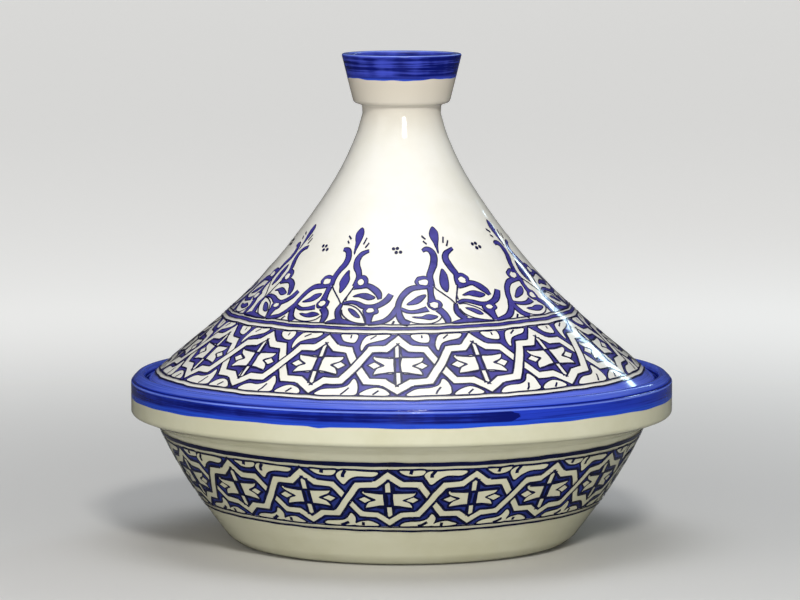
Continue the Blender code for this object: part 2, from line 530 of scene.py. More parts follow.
def laid(name, colour, ground, paint):
    """Lays flat paint on its ground: a point's part of the period, through the ground's turn, gives its
    azimuth, and its height above zero its distance along the side. Each coat lifts it off the glaze."""
    points = np.concatenate(colour.points)
    coats = np.concatenate(colour.coats)
    faces = np.concatenate(colour.faces)
    points = points + astray(points, ground.period, ground.seed) * paint.unsteady / MM
    azimuth = ground.turn(points[:, 0] / ground.period * 2 * pi)
    along = ground.zero - points[:, 1] * MM - rise(azimuth, ground.slant, ground.dip)
    vertices = ground.side.points(azimuth, along, (1 + coats) * paint.coat)
    normals = ground.side.normals(azimuth, along)
    a, b, c = vertices[faces].transpose(1, 0, 2)
    facing = (np.cross(b - a, c - a) * normals[faces[:, 0]]).sum(1)
    faces = np.where(facing[:, None] < 0, faces[:, ::-1], faces)
    return made(name, vertices, faces.tolist(), normals=normals)


def star(painting, band, strap, left, width, random):
    """One star of a band, `width` across from `left`. Two straps cross between the stars, fill the
    ground with leaves, and enclose a star with a cross, two fish tails and two diamonds. Places are parts
    of the width from the middle, and parts of the height from the top."""

    def at(*places):
        spots = np.array(places, float)
        spots = spots + random.normal(0, STAR_UNEVEN, spots.shape)
        return np.stack([left + (0.5 + spots[:, 0]) * width, (0.5 - spots[:, 1]) * band.height], 1)

    white = painting.white
    lean = random.normal(0, 0.012)

    # the straps: over at the end that runs up to the right, under at the other
    peak, shoulder, notch = random.normal(0, 0.006, 2), 0.352, 0.152
    ends = np.stack([[left, left + width], [-0.015 * band.height, -0.015 * band.height]], 1)
    upper = at((-shoulder, 0.255), (-notch, 0.245), (peak[0], 0.085), (notch, 0.243), (shoulder, 0.252))
    lower = at((-shoulder, 0.770), (-notch, 0.775), (peak[1], 0.912), (notch, 0.776), (shoulder, 0.768))
    painting.stroke(white, [ends[0], *upper, ends[1]], strap, [7, 7, 5, 4, 3, 2, 2])
    painting.stroke(white, [ends[0], *lower, ends[1]], strap, [2, 2, 3, 4, 5, 7, 7])

    # inside the star
    bar = (band.bar + painting.line_width) / 2 / width
    painting.shape(white, at((-bar, 0.185), (bar - 0.008, 0.175), (bar, 0.385), (-bar + 0.006, 0.385)), 2)
    painting.shape(white, at((-bar + 0.004, 0.625), (bar, 0.625), (bar - 0.006, 0.84), (-bar, 0.83)), 2)
    column = at((-bar - lean, 0.18), (-bar, 0.5), (-bar + lean, 0.83))
    painting.line(column, 4)
    painting.line(column + [2 * bar * width, 0], 4)
    painting.line(at((-0.28, 0.375), (-0.1, 0.392), (0.0, 0.39), (0.12, 0.385), (0.3, 0.37)), 4, 0.9)
    painting.line(at((-0.27, 0.662), (-0.1, 0.628), (0.0, 0.622), (0.12, 0.630), (0.27, 0.660)), 4, 0.9)
    for mirror in ((-1, 1), (1, 1)):
        painting.shape(white, through(at(*np.array(FISH_TAIL) * mirror), 4, closed=True), 2,
                       [left + (0.5 + 0.1 * mirror[0]) * width, 0])
        painting.shape(white, at(*np.array(DIAMOND) * mirror), 2)

    # between the straps and the band's edges
    for outline, tick in band.leaves:
        edge = through(at(*outline), 4, closed=True)
        painting.shape(white, edge, 2, at(tick[0])[0])
        painting.line(at(*tick[1:]), 4, band.tick)


FISH_TAIL = ((0.052, 0.398), (0.17, 0.388), (0.290, 0.372), (0.300, 0.398), (0.262, 0.445), (0.155, 0.510),
             (0.240, 0.565), (0.272, 0.655), (0.17, 0.632), (0.052, 0.618))
DIAMOND = ((0.205, 0.512), (0.283, 0.462), (0.352, 0.508), (0.283, 0.560))

# Each leaf of a star: its outline, a point well inside it, and the tick that is drawn on it.
LID_LEAVES = (
    (((0.178, 0.01), (0.3, 0.006), (0.412, 0.012), (0.402, 0.12), (0.33, 0.133), (0.25, 0.11),
      (0.2, 0.065)),
     ((0.31, 0.05), (0.322, 0.02), (0.32, 0.065))),
    (((-0.486, 0.262), (-0.508, 0.17), (-0.47, 0.06), (-0.405, 0.012), (-0.24, 0.01), (-0.118, 0.01),
      (-0.185, 0.072), (-0.3, 0.108), (-0.42, 0.15)),
     ((-0.43, 0.08), (-0.3, 0.018), (-0.385, 0.075))),
    (((0.498, 0.735), (0.552, 0.8), (0.57, 0.9), (0.54, 0.985), (0.3, 0.992), (0.105, 0.988),
      (0.15, 0.92), (0.23, 0.885), (0.35, 0.88), (0.44, 0.835)),
     ((0.47, 0.9), (0.462, 0.868), (0.43, 0.935), (0.395, 0.985))),
    (((-0.385, 0.99), (-0.33, 0.915), (-0.22, 0.872), (-0.125, 0.915), (-0.105, 0.99)),
     ((-0.23, 0.96), (-0.19, 0.915), (-0.25, 0.985))),
)
DISH_LEAVES = (
    (((0.13, 0.012), (0.27, 0.018), (0.405, 0.015), (0.385, 0.075), (0.3, 0.098), (0.215, 0.092),
      (0.16, 0.055)),
     ((0.29, 0.05), (0.262, 0.01), (0.245, 0.07))),
    (((-0.535, 0.02), (-0.592, 0.085), (-0.56, 0.17), (-0.515, 0.24), (-0.44, 0.155), (-0.34, 0.1),
      (-0.17, 0.1), (-0.12, 0.035), (-0.3, 0.022), (-0.43, 0.02)),
     ((-0.47, 0.08), (-0.475, 0.01), (-0.51, 0.075), (-0.512, 0.13))),
    (((0.145, 0.988), (0.175, 0.942), (0.27, 0.918), (0.39, 0.905), (0.465, 0.86), (0.52, 0.775),
      (0.568, 0.85), (0.552, 0.93), (0.53, 0.985), (0.33, 0.992)),
     ((0.48, 0.93), (0.47, 0.925), (0.415, 0.97), (0.365, 0.99))),
    (((-0.45, 0.99), (-0.39, 0.93), (-0.28, 0.905), (-0.2, 0.93), (-0.15, 0.99)),
     ((-0.29, 0.96), (-0.335, 0.925), (-0.345, 0.99))),
)


def ring(colour, period, height, width, coat):
    """A line right round: pairs of points, half of the width above and below the height."""
    count = int(period / 2)
    across = np.repeat(np.linspace(0, period, count + 1), 2)
    upwards = np.tile([height + width / 2, height - width / 2], count + 1)
    i = 2 * np.arange(count)
    colour.add(np.stack([across, upwards], 1), coat, halves(i, i + 1, i + 3, i + 2))


def backing(colour, period, height, rows=16):
    """The wash behind a whole band: a grid of the way round by the way across."""
    columns = int(period / 2.5)
    across, upwards = np.linspace(0, period, columns + 1), np.linspace(-height / 2, height / 2, rows + 1)
    points = np.stack(np.meshgrid(across, upwards, indexing="ij"), -1).reshape(-1, 2)
    i, j = np.meshgrid(np.arange(columns), np.arange(rows), indexing="ij")
    corners = (p * (rows + 1) + q for p, q in ((i, j), (i + 1, j), (i + 1, j + 1), (i, j + 1)))
    colour.add(points, 0, halves(*corners))


def oval(place, radii, count):
    """Points round an oval: the place plus the radii times the cosine and the sine of the turn."""
    turn = np.linspace(0, 2 * pi, count, endpoint=False)
    return np.array(place) + np.array(radii) * np.stack([np.cos(turn), np.sin(turn)], 1)


def flower(painting, middle, random):
    """One plant ornament, from the ring under it at height 0 to the tip of its bud: two horns round a
    calyx, with a leaf pair on each side, lobes with white eyes, and a tendril. Places are millimetres
    from the middle of its foot, and a brush stroke's third numbers are its widths."""

    def at(*places):
        spots = np.array(places, float)
        spots = spots + random.normal(0, FLOWER_UNEVEN, spots.shape)
        return spots + [middle, 0]

    edge = painting.line_width

    def brush(places):
        places = np.array(places)
        smooth = through(at(*places[:, :2]), 6)
        widths = 1.12 * through(np.stack([np.arange(len(places)), places[:, 2]], 1), 6)[:, 1]
        painting.ribbon(painting.outline, smooth, widths + 1.4 * edge, 0)
        painting.ribbon(painting.wash, smooth, widths, 2)

    def leaf(places, colour=None, coat=2, line=1.15):
        path = through(at(*places), 5, closed=True)
        painting.ribbon(painting.outline, path, edge * line, coat - 1 if coat > 2 else 0, closed=True)
        painting.fill(colour or painting.wash, path, coat)

    def vein(places, coat, part=0.8):
        painting.line(through(at(*places), 6), coat, part)

    # the foot, the trunk and the arcs that carry the leaves
    leaf([(-3.4, 0), (-0.9, 2.0), (3.2, 3.0), (7.6, 2.1), (12, 0.8), (16, 0), (6, -0.2)])
    brush([(-11.1, 26.0, 1.8), (-16.1, 25.7, 2.2), (-20.6, 24.8, 2.4), (-24.0, 21.8, 2.2),
           (-26.2, 18.2, 1.9), (-27.3, 13.9, 1.8), (-27.5, 9.6, 1.8), (-26.7, 5.4, 2.0),
           (-25.0, 2.2, 2.3), (-22.6, 0.2, 2.6)])
    brush([(17.5, 0.6, 0.9), (21.8, 1.4, 1.8), (25.4, 3.2, 2.1), (28.7, 6.8, 2.0), (30.8, 11.0, 1.6),
           (31.8, 14.6, 0.9)])
    brush([(5.4, 25.2, 1.4), (8.9, 26.1, 1.5), (13.9, 26.9, 1.8), (17.6, 25.0, 2.5), (20.1, 21.6, 2.5),
           (21.2, 17.7, 0.8)])
    brush([(0.7, 13.8, 0.8), (0.2, 9.6, 1.6), (1.0, 6.1, 1.9), (2.9, 2.6, 2.2)])
    brush([(-26.6, 11.2, 0.9), (-22.4, 9.4, 1.3), (-18.0, 9.6, 1.5), (-13.6, 11.2, 2.4)])
    brush([(-9.9, 25.6, 2.4), (-10.5, 20.0, 2.0), (-10.5, 15.6, 3.0)])
    brush([(-8.4, 10.9, 2.6), (-6.5, 7.6, 2.5), (-5.7, 4.0, 2.0), (-5.6, 0.1, 1.1)])
    brush([(1.6, 14.2, 0.7), (5.4, 15.4, 1.3), (9.6, 14.6, 1.6), (13.9, 12.6, 2.0), (18.2, 12.2, 2.2),
           (22.2, 13.7, 2.4), (25.2, 17.0, 2.5), (27.4, 20.8, 1.9)])
    brush([(16.9, 8.2, 4.2), (17.5, 4.4, 2.2), (17.8, 0.6, 1.5)])

    # the horns and the bud
    brush([(-11.5, 49.4, 0.9), (-8.9, 49.9, 1.8), (-6.1, 48.6, 2.6), (-4.8, 45.0, 3.0), (-5.7, 40.7, 3.0),
           (-7.9, 36.8, 2.6), (-9.4, 33.2, 2.5), (-10.0, 29.6, 2.6), (-9.3, 25.8, 2.0)])
    brush([(9.7, 49.5, 0.8), (6.8, 48.5, 1.5), (4.0, 46.8, 2.2), (2.5, 43.4, 2.8), (3.3, 39.6, 2.9),
           (5.2, 36.4, 2.7), (6.5, 33.2, 2.4), (6.3, 29.6, 2.4), (5.3, 25.9, 1.8)])
    leaf([(-0.9, 63.7), (1.3, 62.2), (1.9, 60.3), (1.2, 56.8), (0.0, 53.0), (-1.0, 50.0), (-1.4, 47.5),
          (-1.8, 50.0), (-2.4, 54.6), (-3.6, 57.5), (-3.9, 59.8), (-2.9, 62.2)])
    for start, end in (
        ((-10.9, 58.7), (-7.6, 56.6)), ((-10.4, 55.4), (-7.9, 53.6)), ((5.4, 57.6), (3.6, 53.6)),
        ((8.0, 55.0), (5.8, 51.4)),
    ):
        painting.line(at(start, end), 3, 1.1)

    # the calyx with its leaf
    vein([(-8.6, 27.2), (-7.7, 25.0), (-4.6, 21.0), (-1.4, 16.9), (0.6, 13.5)], 3)
    vein([(5.2, 26.2), (3.7, 21.8), (2.2, 17.6), (1.2, 13.8)], 3)
    leaf([(-1.4, 36.3), (0.0, 33.2), (0.5, 30.2), (0.0, 26.2), (-1.1, 23.5), (-2.1, 22.3), (-3.6, 25.4),
          (-4.1, 28.6), (-3.4, 32.5)])

    # the leaves at the sides, each with a small one inside
    leaf([(-22.8, 14.2), (-20.4, 16.9), (-17.2, 19.3), (-13.9, 20.3), (-15.1, 17.6), (-18.4, 15.0)])
    leaf([(-20.6, 5.6), (-16.9, 5.5), (-13.5, 7.0), (-9.8, 5.5), (-13.0, 3.7), (-16.8, 4.2)])
    leaf([(6.3, 19.4), (10.4, 21.2), (13.9, 21.1), (18.0, 18.8), (15.4, 17.3), (12.1, 18.5), (9.4, 19.7)])
    leaf([(5.8, 10.3), (8.6, 9.7), (11.2, 7.8), (12.9, 5.3), (10.2, 6.0), (7.6, 8.0)])
    vein([(2.4, 13.2), (5.6, 13.2), (10.4, 11.0), (13.9, 7.0), (16.4, 1.6)], 1)
    vein([(1.6, 10.0), (3.4, 6.4), (7.0, 3.4), (11.1, 1.4), (16.1, 0.7)], 1)
    vein([(2.6, 16.2), (2.9, 20.0), (4.1, 23.4), (5.4, 25.0)], 1)
    vein([(-24.4, 4.0), (-20.2, 0.9), (-14.0, 0.5), (-9.4, 2.4), (-7.6, 5.2)], 3, 0.7)

    # lobes with white eyes
    for lobe, lobe_size, eye, eye_size in (
        ((-13.9, 29.2), (4.3, 3.5), (-13.7, 28.7), (2.7, 1.8)),
        ((9.1, 29.6), (4.0, 3.8), (8.8, 29.0), (2.1, 1.9)),
        ((-9.8, 13.8), (3.4, 3.1), (-10.1, 13.6), (2.0, 1.9)),
        ((17.6, 9.7), (3.6, 2.7), (17.5, 9.8), (1.9, 1.3)),
    ):
        leaf(oval(lobe, lobe_size, 14))
        leaf(oval(eye, eye_size, 14), painting.white, 5, 0.8)

    # between two flowers
    painting.line(at((30.0, 2.9), (28.9, 0.4)), 3)
    for place in ((26.9, 50.9), (29.9, 51.3), (29.1, 48.6), (32.5, 49.2)):
        painting.fill(painting.outline, oval(at(place)[0], (1.4, 1.1), 10), 3, rings=2)


# ---------------------------------------------------------------- materials


def group(name, inputs, outputs):
    """An empty shader node group. The inputs have their defaults, and are colours where those are four
    numbers. The outputs have their kinds. Returns the tree and its two ends."""
    tree = bpy.data.node_groups.new(name, "ShaderNodeTree")
    for label, default in inputs.items():
        kind = "NodeSocketColor" if hasattr(default, "__len__") else "NodeSocketFloat"
        socket = tree.interface.new_socket(label, in_out="INPUT", socket_type=kind)
        socket.default_value = default
    for label, kind in outputs.items():
        tree.interface.new_socket(label, in_out="OUTPUT", socket_type=f"NodeSocket{kind}")
    return tree, tree.nodes.new("NodeGroupInput"), tree.nodes.new("NodeGroupOutput")


def node(tree, kind, inputs=None, **options):
    """Adds a node, sets it up, and joins or sets its inputs."""
    new = tree.nodes.new(kind)
    for key, value in options.items():
        setattr(new, key, value)
    for key, value in (inputs or {}).items():
        if isinstance(value, bpy.types.NodeSocket):
            tree.links.new(value, new.inputs[key])
        else:
            new.inputs[key].default_value = value
    return new


def maths(tree, operation, a, b=0.0, c=0.0):
    """The result of one Math node."""
    return node(tree, "ShaderNodeMath", {0: a, 1: b, 2: c}, operation=operation).outputs[0]


def times(tree, a, b):
    """a times b."""
    return maths(tree, "MULTIPLY", a, b)


def minus(tree, a, b):
    """a less b."""
    return maths(tree, "SUBTRACT", a, b)


def mixed(tree, part, a, b):
    """A colour between a and b."""
    new = node(tree, "ShaderNodeMix", {"Factor": part}, data_type="RGBA")
    for key, value in ((6, a), (7, b)):
        if isinstance(value, bpy.types.NodeSocket):
            tree.links.new(value, new.inputs[key])
        else:
            new.inputs[key].default_value = (*value, 1)
    return new.outputs[2]


def spread(tree, value, low, high, to_low=0.0, to_high=1.0):
    """The value, stretched from low..high to to_low..to_high with soft ends."""
    inputs = {"Value": value, "From Min": low, "From Max": high, "To Min": to_low, "To Max": to_high}
    return node(tree, "ShaderNodeMapRange", inputs, interpolation_type="SMOOTHSTEP").outputs["Result"]


def noise(tree, vector, scale, detail=2.0, roughness=0.5, distortion=0.0):
    """A noise from about 0 to 1."""
    inputs = {"Vector": vector, "Scale": scale, "Detail": detail, "Roughness": roughness}
    return node(tree, "ShaderNodeTexNoise", {**inputs, "Distortion": distortion}).outputs["Fac"]


def glaze_group():
    """Tin glaze: it pools a little thicker and yellower in places, and holds a few dark pinholes. Above a
    height its colour turns darker and warmer, which is painted shade."""
    tree, start, end = group(
        "Tin glaze",
        {"Glaze": (0.8, 0.8, 0.75, 1), "Pooled": (0.6, 0.55, 0.4, 1), "Pooling": 0.5, "Pinholes": 0.5,
         "Thin": (0.75, 0.7, 0.63, 1), "Shade Height": 1.0},
        {"Colour": "Color", "Roughness": "Float", "Height": "Float"},
    )
    place = node(tree, "ShaderNodeTexCoord").outputs["Object"]
    cloud = noise(tree, place, 14.0, 4.0, 0.55)
    drift = noise(tree, place, 60.0, 3.0, 0.6)
    thick = maths(tree, "MULTIPLY_ADD", drift, 0.4, times(tree, cloud, 0.6))
    part = times(tree, spread(tree, thick, 0.38, 0.64), start.outputs["Pooling"])
    colour = mixed(tree, part, start.outputs["Glaze"], start.outputs["Pooled"])
    # painted shade: above the shade height the glaze turns darker and warmer
    height = node(tree, "ShaderNodeSeparateXYZ", {"Vector": place}).outputs[2]
    over = spread(tree, minus(tree, height, start.outputs["Shade Height"]), -0.018, 0.018)
    colour = mixed(tree, over, colour, start.outputs["Thin"])

    # pinholes: a few of the cells have a dark middle
    cells = node(tree, "ShaderNodeTexVoronoi", {"Vector": place, "Scale": 75.0, "Randomness": 1.0})
    chance = node(tree, "ShaderNodeSeparateColor", {"Color": cells.outputs["Color"]})
    few = spread(tree, chance.outputs[0], 0.955, 0.975)
    close = spread(tree, cells.outputs["Distance"], 0.02, 0.055, 1.0, 0.0)
    hole = times(tree, times(tree, few, close), start.outputs["Pinholes"])
    speckled = mixed(tree, hole, colour, (0.05, 0.035, 0.03))
    tree.links.new(speckled, end.inputs["Colour"])
    tree.links.new(spread(tree, drift, 0.35, 0.7, 0.07, 0.13), end.inputs["Roughness"])

    # the skin of the glaze: low waves, a fine ripple, and the pinholes
    skin = noise(tree, place, 260.0, 2.0, 0.5)
    low = noise(tree, place, 45.0, 1.0, 0.5)
    relief = maths(tree, "MULTIPLY_ADD", low, 1.0, times(tree, skin, 0.16))
    tree.links.new(minus(tree, relief, times(tree, hole, 0.8)), end.inputs["Height"])
    return tree


def brushed_group():
    """Cobalt laid on a turning wheel: streaks that run round the pot. A full brush leaves a dark stroke at
    one height, darkest where it starts and fading round the turn. The paint thins out to a brighter stroke
    just above its lower edge. A dark line at the groove is painted shade, and lighter blue round it is a
    painted highlight."""
    tree, start, end = group(
        "Brushed cobalt",
        {"Cobalt": (0.02, 0.03, 0.4, 1), "Deep": (0.01, 0.01, 0.1, 1), "Thin": (0.03, 0.1, 0.6, 1),
         "Edge Height": 0.08, "Thin Reach": 0.003, "Streaks": 0.7, "Full Height": 0.088,
         "Full Reach": 0.003, "Full Start": 0.4, "Fading": 0.8, "Corner Highlight": (0.2, 0.3, 0.8, 1),
         "Groove Height": 0.09, "Groove Reach": 0.0004, "Patches": 0.3},
        {"Colour": "Color"},
    )
    place = node(tree, "ShaderNodeTexCoord").outputs["Object"]
    spot = node(tree, "ShaderNodeSeparateXYZ", {"Vector": place})
    x, y, z = spot.outputs
    square = maths(tree, "ADD", times(tree, x, x), times(tree, y, y))
    across = minus(tree, maths(tree, "SQRT", square), z)

    def streak(around, over, detail, roughness):
        scaled = {"X": times(tree, x, around), "Y": times(tree, y, around)}
        scaled["Z"] = times(tree, across, over)
        vector = node(tree, "ShaderNodeCombineXYZ", scaled).outputs[0]
        return noise(tree, vector, 1.0, detail, roughness)

    fine = streak(14.0, 1100.0, 4.0, 0.7)
    wide = streak(16.0, 170.0, 2.0, 0.5)
    patch = streak(75.0, 25.0, 2.0, 0.5)

    # the stroke of the full brush, and the dark hairs in the paint
    lift = maths(tree, "MULTIPLY_ADD", wide, 0.004, minus(tree, z, 0.002))
    off = maths(tree, "ABSOLUTE", minus(tree, lift, start.outputs["Full Height"]))
    off = maths(tree, "DIVIDE", off, start.outputs["Full Reach"])
    stripe = spread(tree, off, 0.55, 1.15, 1.0, 0.0)
    azimuth = maths(tree, "ARCTAN2", x, times(tree, y, -1.0))
    bend = times(tree, off, off)
    blunt = maths(tree, "MULTIPLY_ADD", bend, 0.05, times(tree, fine, 0.05))
    since = minus(tree, minus(tree, start.outputs["Full Start"], azimuth), blunt)
    turn = maths(tree, "DIVIDE", maths(tree, "WRAP", since, 2 * pi, 0.0), 2 * pi)
    load = minus(tree, 1.4, times(tree, turn, start.outputs["Fading"]))
    touch = spread(tree, turn, 0.004, 0.04, 0.5, 0.0)
    dabs = times(tree, minus(tree, patch, 0.5), start.outputs["Patches"])
    hairs = spread(tree, maths(tree, "ADD", fine, dabs), 0.30, 0.62, 0.15, 1.0)
    stroke = times(tree, times(tree, stripe, load), maths(tree, "ADD", hairs, touch))
    lines = spread(tree, maths(tree, "MULTIPLY_ADD", wide, 0.4, fine), 0.68, 0.88, 0.0, 0.8)
    full = times(tree, maths(tree, "MAXIMUM", stroke, lines), start.outputs["Streaks"])

    # painted shade: a dark line in the groove
    groove = minus(tree, z, start.outputs["Groove Height"])
    groove = maths(tree, "DIVIDE", groove, start.outputs["Groove Reach"])
    groove_shade = spread(tree, maths(tree, "ABSOLUTE", groove), 0.6, 1.2, 0.85, 0.0)
    full = maths(tree, "MINIMUM", maths(tree, "MAXIMUM", full, groove_shade), 1.0)
    body = mixed(tree, full, start.outputs["Cobalt"], start.outputs["Deep"])

    # the thin stroke above the lower edge
    above = minus(tree, z, start.outputs["Edge Height"])
    ragged = maths(tree, "MULTIPLY_ADD", wide, 0.0022, minus(tree, above, 0.0011))
    thin = spread(tree, maths(tree, "DIVIDE", ragged, start.outputs["Thin Reach"]), 0.7, 1.05, 1.0, 0.0)
    thin = times(tree, thin, spread(tree, fine, 0.30, 0.62, 1.0, 0.45))
    painted = mixed(tree, thin, body, start.outputs["Thin"])

    # painted highlight: lighter blue on the corner under the groove, and a little lighter blue on all the
    # paint above it
    corner = spread(tree, maths(tree, "ABSOLUTE", maths(tree, "ADD", groove, 2.3)), 0.5, 1.2, 1.0, 0.0)
    corner = maths(tree, "MAXIMUM", corner, spread(tree, groove, 1.0, 2.5, 0.0, 0.35))
    corner = times(tree, corner, spread(tree, fine, 0.35, 0.6, 0.9, 0.5))
    tree.links.new(mixed(tree, corner, painted, start.outputs["Corner Highlight"]), end.inputs["Colour"])
    return tree


def wash_group():
    """A thin wash of cobalt dabbed on with a small brush: patches a few millimetres wide, darker where
    two dabs overlap."""
    tree, start, end = group(
        "Cobalt wash",
        {"Wash": (0.04, 0.03, 0.3, 1), "Deep": (0.01, 0.01, 0.1, 1), "Patchiness": 0.6},
        {"Colour": "Color"},
    )
    place = node(tree, "ShaderNodeTexCoord").outputs["Object"]
    dabs = noise(tree, place, 130.0, 3.0, 0.6, 0.6)
    cloud = noise(tree, place, 28.0, 2.0, 0.5)
    full = spread(tree, maths(tree, "MULTIPLY_ADD", cloud, 0.7, dabs), 0.72, 1.12)
    part = times(tree, full, start.outputs["Patchiness"])
    tree.links.new(mixed(tree, part, start.outputs["Wash"], start.outputs["Deep"]), end.inputs["Colour"])
    return tree


def grouped(name):
    """The named node group, made on first use."""
    makers = {"Tin glaze": glaze_group, "Brushed cobalt": brushed_group, "Cobalt wash": wash_group}
    return bpy.data.node_groups.get(name) or makers[name]()


SKIN_RELIEF = 0.6 * MM
SKIN_STRENGTH = 0.35
GLAZE_IOR = 1.38


def fired(name, effect, values):
    """A fired glossy surface: the named effect gives its colour, and the tin glaze its skin."""
    known = bpy.data.materials.get(name)
    if known:
        return known
    material = bpy.data.materials.new(name)
    material.use_nodes = True
    tree = material.node_tree
    shader = tree.nodes["Principled BSDF"]
    paint = node(tree, "ShaderNodeGroup", node_tree=grouped(effect))
    for key, value in values.items():
        paint.inputs[key].default_value = (*value, 1) if hasattr(value, "__len__") else value
    skin = paint if effect == "Tin glaze" else node(tree, "ShaderNodeGroup", node_tree=grouped("Tin glaze"))
    tree.links.new(paint.outputs["Colour"], shader.inputs["Base Color"])
    tree.links.new(skin.outputs["Roughness"], shader.inputs["Roughness"])
    relief = {"Height": skin.outputs["Height"], "Strength": SKIN_STRENGTH, "Distance": SKIN_RELIEF}
    tree.links.new(node(tree, "ShaderNodeBump", relief).outputs["Normal"], shader.inputs["Normal"])
    shader.inputs["IOR"].default_value = GLAZE_IOR
    return material


def tinted(base, red, green, blue):
    """A colour with each of its parts multiplied."""
    return base[0] * red, base[1] * green, base[2] * blue


def lid_glaze(colours):
    """The lid's white tin glaze, with painted shade on the knob."""
    white = colours.lid_glaze
    return fired("lid_white", "Tin glaze", {
        "Glaze": white, "Pooled": tinted(white, 0.93, 0.92, 0.86), "Pooling": 0.6, "Pinholes": 0.7,
        # painted shade on the knob: darker and warmer above 236 mm
        "Thin": tinted(white, 0.76, 0.71, 0.64), "Shade Height": 236 * MM,
    })


def dish_glaze(colours):
    """The dish's glaze: the lid's white, with painted shade and warm light from the table in its colour."""
    shaded_cream = colours.dish_glaze
    return fired("dish_cream_shaded", "Tin glaze", {
        "Glaze": shaded_cream, "Pooled": tinted(shaded_cream, 0.90, 0.89, 0.82), "Pooling": 0.7, "Pinholes": 0.8,
    })


def band_blue(name, cobalt, colours, brushed):
    """The blue of a brushed band, with the values of the effect that are its own in `brushed`."""
    return fired(name, "Brushed cobalt", {
        "Cobalt": cobalt, "Deep": colours.band_deep, "Thin": colours.band_light, "Corner Highlight": colours.band_corner_highlight,
        "Groove Reach": 0.42 * MM, "Streaks": 0.95, "Patches": 0.3, **brushed,
    })


def wash_blue(name, wash, deep, patchiness):
    """The blue between the outlines."""
    return fired(name, "Cobalt wash", {"Wash": wash, "Deep": deep, "Patchiness": patchiness})


def outline_blue(name, outline):
    """The dark outlines."""
    return wash_blue(name, outline, tinted(outline, 0.5, 0.5, 0.5), 1.0)


# ---------------------------------------------------------------- bands


def turning(start, even=0.0, lopsided=0.0):
    """How the painter spaced a band: from a part of a full turn to an azimuth. A sine makes the units in
    front wider, and a cosine makes those on one side wider than on the other. All in degrees."""

    def azimuth(turn):
        return radians(start) + turn + radians(even) * np.sin(turn) + radians(lopsided) * (1 - np.cos(turn))

    return azimuth


# A band of stars, in flat millimetres: the height of its middle on the pot (in metres) and the radius
# there, its height, the seed of the unsteady hand, how it is spaced, the widths of the upright bar in a
# star and of the ticks on its leaves, the leaves, and its outer rings: each is above (1) or below (-1)
# the band, that far from its edge, and that wide.
Band = namedtuple("Band", "middle radius height seed turn bar tick leaves rings")
LID_BAND = Band(
    middle=111.5 * MM, radius=118.7, height=44.6, seed=4, turn=turning(-1.0, 1.56, 6.1),
    bar=1.8, tick=0.9, leaves=LID_LEAVES,
    rings=((1, 0.4, 0.9), (-1, 0.4, 0.9), (-1, 3.3, 1.1), (1, 6.7, 0.8)),
)
DISH_BAND = Band(
    middle=40.6 * MM, radius=121.8, height=38.4, seed=8, turn=turning(-3.2),
    bar=2.4, tick=1.2, leaves=DISH_LEAVES,
    rings=((1, 0.2, 0.9), (-1, 0.2, 0.9), (1, 3.5, 2.6), (-1, 3.0, 1.4)),
)
STAR_SEED = 17
FLOWER_SEED = 23
FLOWER_HAND_SEED = 31
FLOWER_RADIUS = 75.3
FLOWER_FOOT = 6.9
FLOWER_TURN = turning(19.4, 0.14, 8.5)
LID_EDGE_GAP = 3.3
RING_COAT = 8
DOUBLE_RING_COAT = 3
STATION = 2.2 * MM
PAINTED_STATION = 1 * MM


def settings(context):
    """The sizes of the pot, the sizes of the paint, and the colours."""
    scene = context.scene
    return scene.tagine_pot, scene.tagine_paint, scene.tagine_colours


def dressed(piece, slot, *materials):
    """Gives a piece its materials and its body. The slot is not used."""
    for material in materials:
        piece.data.materials.append(material)
    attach(piece, "root")
    return piece


def star_painting(band, line, strap, stars):
    """A whole band of stars with its rings, and the flat length of one turn."""
    painting = Painting(line / MM)
    period = 2 * pi * band.radius
    width = period / stars
    backing(painting.wash, period, band.height)
    random = np.random.default_rng(STAR_SEED)
    for k in range(stars):
        star(painting, band, strap / MM, (k - 0.5) * width, width, random)
    for end, gap, thickness in band.rings:
        ring(painting.outline, period, end * (band.height / 2 + gap), thickness, RING_COAT)
    return painting, period


def applied(name, painting, ground, paint, slot, *materials):
    """Lays the wash, the white and the outlines of a painting, each as a piece with its material."""
    layers = {"wash": painting.wash, "white": painting.white, "outline": painting.outline}
    for (layer, laid_on), material in zip(layers.items(), materials):
        dressed(laid(f"{name}_{layer}", laid_on, ground, paint), slot, material)


def lid_paint(colours):
    """The three materials of the paint on the lid."""
    wash = wash_blue("lid_wash", colours.wash, colours.deep, 0.7)
    return wash, lid_glaze(colours), outline_blue("lid_outline", colours.outline)


def dish_paint(colours):
    """The three materials of the paint on the dish."""
    wash = wash_blue("dish_wash", colours.dish_wash, colours.dish_deep, 1.0)
    return wash, dish_glaze(colours), outline_blue("dish_outline", colours.dish_outline)


def lid_outer(pot):
    """The lid's painted side, from the neck down to the edge."""
    line = np.concatenate([lid_side()[::-1], [(pot.lid_radius, pot.lid_edge_top)]])
    return Side(finer(line, PAINTED_STATION), pot.throwing)


def dish_outer(pot):
    """The dish's painted side, from under the rim down to the foot."""
    return Side(finer(dish_wall()[::-1], PAINTED_STATION), pot.throwing)


def level(azimuth):
    """A paint edge that keeps its height."""
    return 0 * azimuth


def rim_wave(azimuth):
    """How far the rim's paint reaches below its edge: three waves round the pot, and a bell for a drip."""
    drip = 0.8 * np.exp(-(((azimuth - radians(343)) / radians(1.6)) ** 2))
    waves = 0.3 * np.sin(5 * azimuth + 1) + 0.12 * np.sin(13 * azimuth) + 0.12 * np.sin(29 * azimuth + 2)
    return (waves + drip) * MM


def knob_wave(azimuth):
    """How far the knob's paint reaches below its edge: three waves round the pot."""
    waves = 0.35 * np.sin(3 * azimuth + 2) + 0.2 * np.sin(8 * azimuth) + 0.12 * np.sin(17 * azimuth + 1)
    return waves * MM


